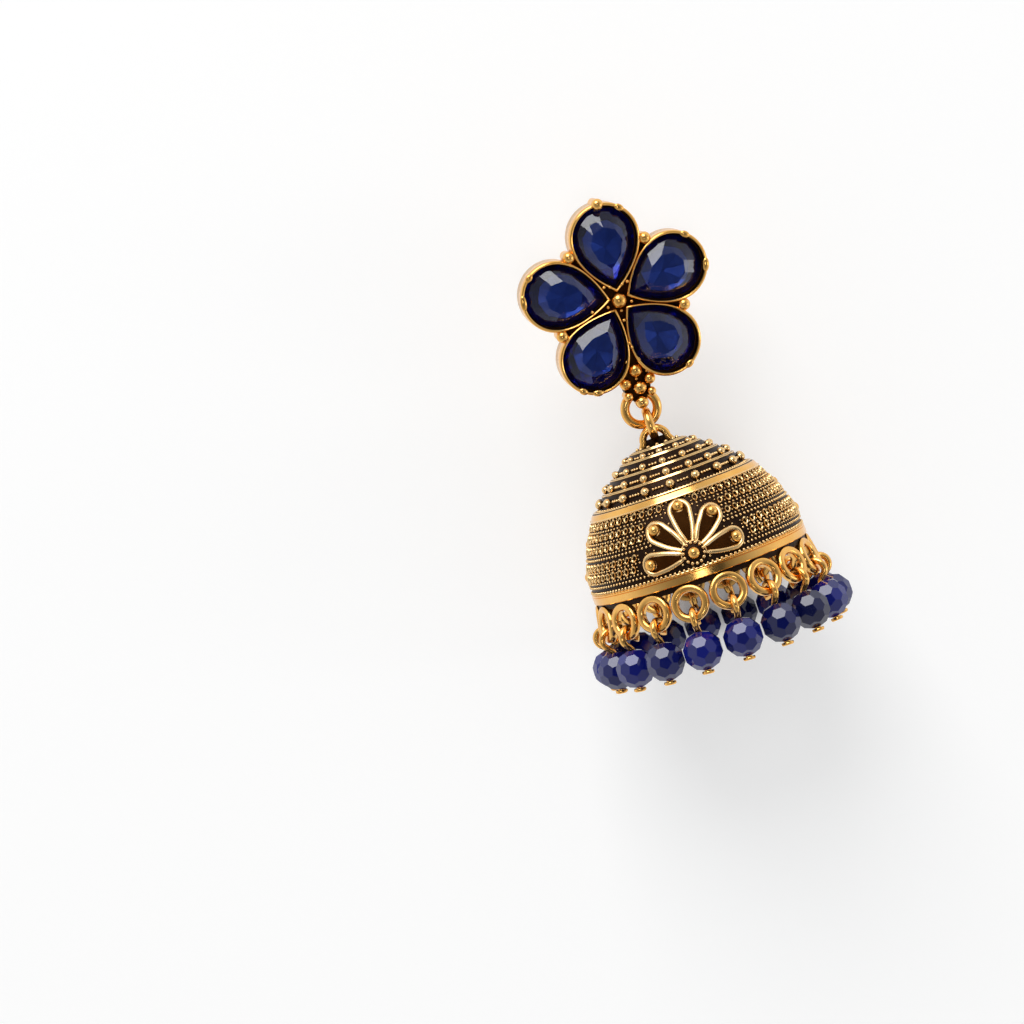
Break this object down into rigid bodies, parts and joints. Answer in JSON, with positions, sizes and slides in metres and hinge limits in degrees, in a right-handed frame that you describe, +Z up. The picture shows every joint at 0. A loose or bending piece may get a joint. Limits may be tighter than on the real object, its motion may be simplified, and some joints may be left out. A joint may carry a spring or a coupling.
{
  "type": "jhumka earring",
  "caption": "Jhumka drop earring: a flower of blue pear stones over a pierced, granulated gold bell with a fringe of blue glass beads.",
  "frame": {"origin": "middle of the footprint on the surface that the earring lies on", "axes": "+Z up out of that surface, +Y from the bell's mouth towards the flower, +X to the right as the flower is seen from above"},
  "size_m": [0.0288, 0.0512, 0.0283],
  "materials": {
    "polished_gold": "bright polished gold plate",
    "antique_gold": "cast gold plate with dark patina in its recesses",
    "stone_glass": "faceted dark blue glass",
    "bead_glass": "faceted blue glass, nearly opaque"
  },
  "bodies": {
    "root": {"flower_setting": "polished_gold", "jhumka_dome": "antique_gold", "drop_link": "polished_gold", "ear_clutch": "polished_gold", "petal_stone_1": "stone_glass", "petal_stone_2": "stone_glass", "petal_stone_3": "stone_glass", "petal_stone_4": "stone_glass", "petal_stone_5": "stone_glass", "bead_01": "bead_glass", "bead_02": "bead_glass", "bead_03": "bead_glass", "bead_04": "bead_glass", "bead_05": "bead_glass", "bead_06": "bead_glass", "bead_07": "bead_glass", "bead_08": "bead_glass", "bead_09": "bead_glass", "bead_10": "bead_glass", "bead_11": "bead_glass", "bead_12": "bead_glass", "bead_13": "bead_glass", "bead_14": "bead_glass", "bead_15": "bead_glass", "bead_16": "bead_glass", "bead_17": "bead_glass", "bead_18": "bead_glass", "bead_pin_01": "polished_gold", "bead_pin_02": "polished_gold", "bead_pin_03": "polished_gold", "bead_pin_04": "polished_gold", "bead_pin_05": "polished_gold", "bead_pin_06": "polished_gold", "bead_pin_07": "polished_gold", "bead_pin_08": "polished_gold", "bead_pin_09": "polished_gold", "bead_pin_10": "polished_gold", "bead_pin_11": "polished_gold", "bead_pin_12": "polished_gold", "bead_pin_13": "polished_gold", "bead_pin_14": "polished_gold", "bead_pin_15": "polished_gold", "bead_pin_16": "polished_gold", "bead_pin_17": "polished_gold", "bead_pin_18": "polished_gold"}
  },
  "joints": []
}
